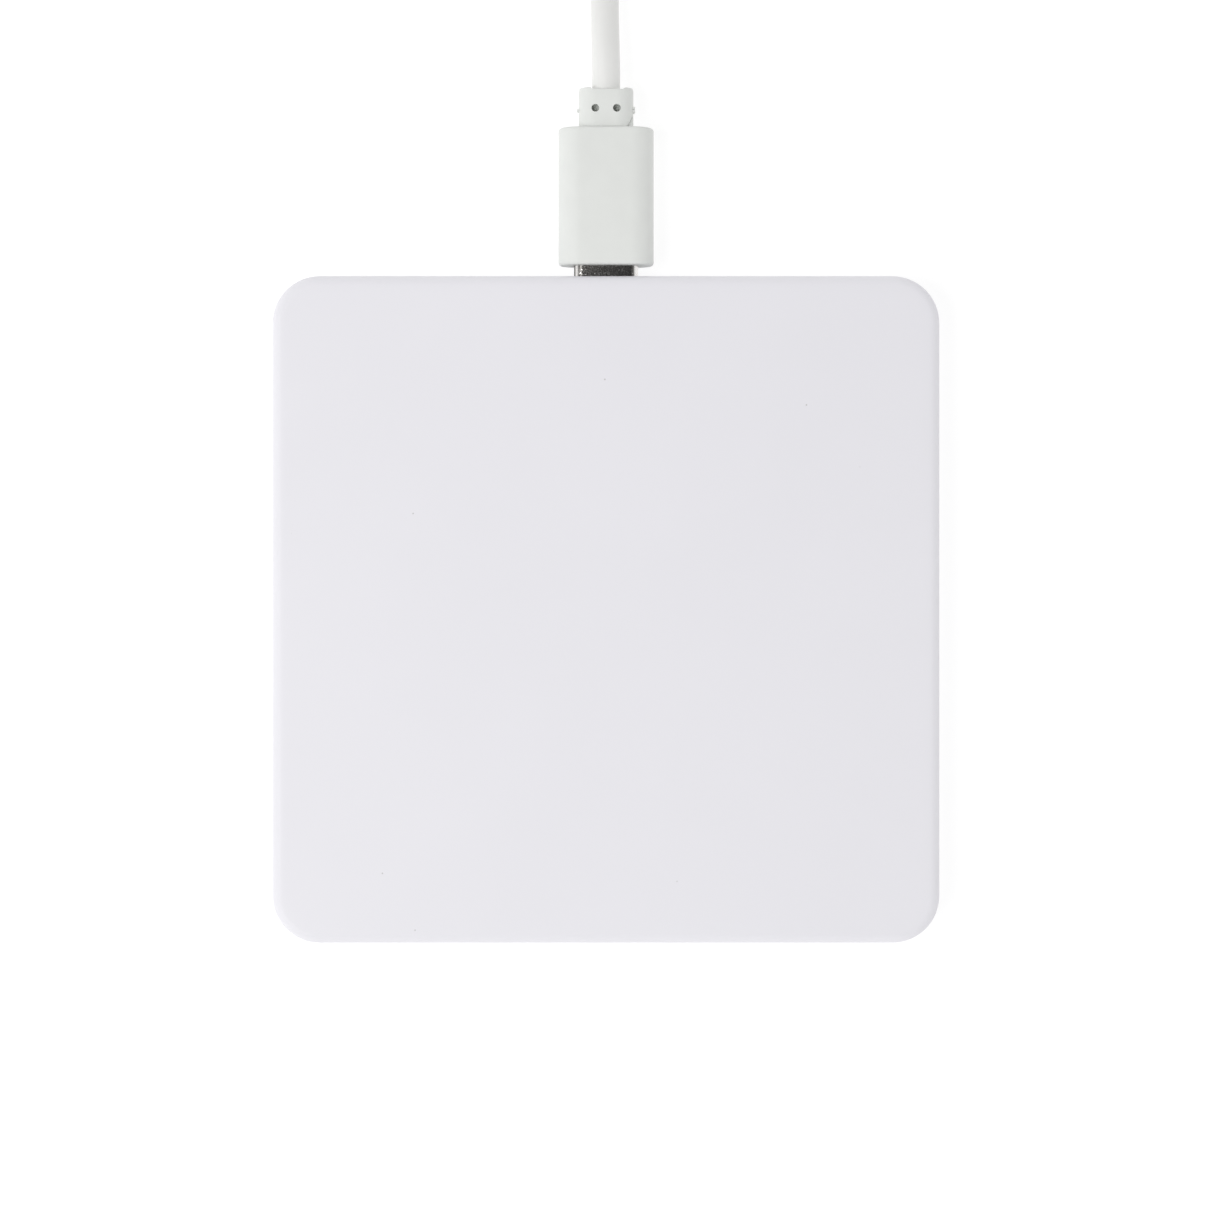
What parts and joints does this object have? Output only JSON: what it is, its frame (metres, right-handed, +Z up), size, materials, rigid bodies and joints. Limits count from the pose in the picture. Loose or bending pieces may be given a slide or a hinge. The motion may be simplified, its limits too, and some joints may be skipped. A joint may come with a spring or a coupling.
{
  "type": "wireless charging pad",
  "caption": "Square flat pad that charges a phone laid on it, with a plug-in USB lead wound into a coil.",
  "frame": {"origin": "on the surface the pad stands on, under the middle of the pad", "axes": "+Z up out of the charging face, +Y towards the socket side where the lead leaves, +X to the right"},
  "size_m": [0.085, 0.1853, 0.0091],
  "materials": {
    "pad_plastic": "white moulded ABS, fine satin texture",
    "plug_plastic": "white moulded TPE, matte",
    "cord_jacket": "white extruded TPE jacket, satin",
    "foot_rubber": "light grey silicone rubber, matte",
    "board_laminate": "green solder mask over glass laminate",
    "chip_epoxy": "black moulded epoxy",
    "ferrite": "dark grey sintered ferrite",
    "winding_copper": "enamelled copper litz wire",
    "foam": "white closed-cell foam",
    "capacitor_ceramic": "tan ceramic",
    "clear_acrylic": "clear moulded acrylic",
    "screw_zinc": "zinc-plated steel",
    "plug_steel": "dark nickel-plated steel",
    "socket_steel": "bright nickel-plated steel",
    "black_nylon": "black glass-filled nylon",
    "contact_gold": "gold-plated contact",
    "tie_fabric": "light grey hook-and-loop strap"
  },
  "bodies": {
    "pad": {"top_cover": "pad_plastic", "bottom_cover": "pad_plastic", "circuit_board": "board_laminate", "usb_socket_shell": "socket_steel", "usb_socket_tongue": "black_nylon", "controller_chip": "chip_epoxy", "bridge_chip": "chip_epoxy", "inductor": "ferrite", "thermistor": "chip_epoxy", "status_led": "clear_acrylic", "light_pipe": "clear_acrylic", "ferrite_sheet": "ferrite", "transmitter_coil": "winding_copper", "coil_lead_inner": "winding_copper", "coil_lead_outer": "winding_copper", "foam_ring": "foam", "foot_1": "foot_rubber", "cover_screw_1": "screw_zinc", "resonance_capacitor_1": "capacitor_ceramic", "foot_2": "foot_rubber", "cover_screw_2": "screw_zinc", "resonance_capacitor_2": "capacitor_ceramic", "foot_3": "foot_rubber", "cover_screw_3": "screw_zinc", "resonance_capacitor_3": "capacitor_ceramic", "foot_4": "foot_rubber", "cover_screw_4": "screw_zinc", "resonance_capacitor_4": "capacitor_ceramic", "input_capacitor_1": "capacitor_ceramic", "input_capacitor_2": "capacitor_ceramic"},
    "cable": {"plug_shell": "plug_steel", "plug_contact_carrier": "black_nylon", "plug_board": "board_laminate", "plug_housing": "plug_plastic", "plug_strain_relief": "plug_plastic", "cord_lead": "cord_jacket", "cord_coil": "cord_jacket", "cord_tail": "cord_jacket", "cord_tie": "tie_fabric", "far_plug_strain_relief": "plug_plastic", "far_plug_housing": "plug_plastic", "far_plug_shell": "socket_steel", "far_plug_insulator": "black_nylon", "far_plug_contact_1": "contact_gold", "far_plug_contact_2": "contact_gold", "far_plug_contact_3": "contact_gold", "far_plug_contact_4": "contact_gold"}
  },
  "joints": [
    {"name": "unplug", "type": "slide", "parent": "pad", "child": "cable", "axis": [0, 1, 0], "range_m": [0, 0.008]}
  ]
}
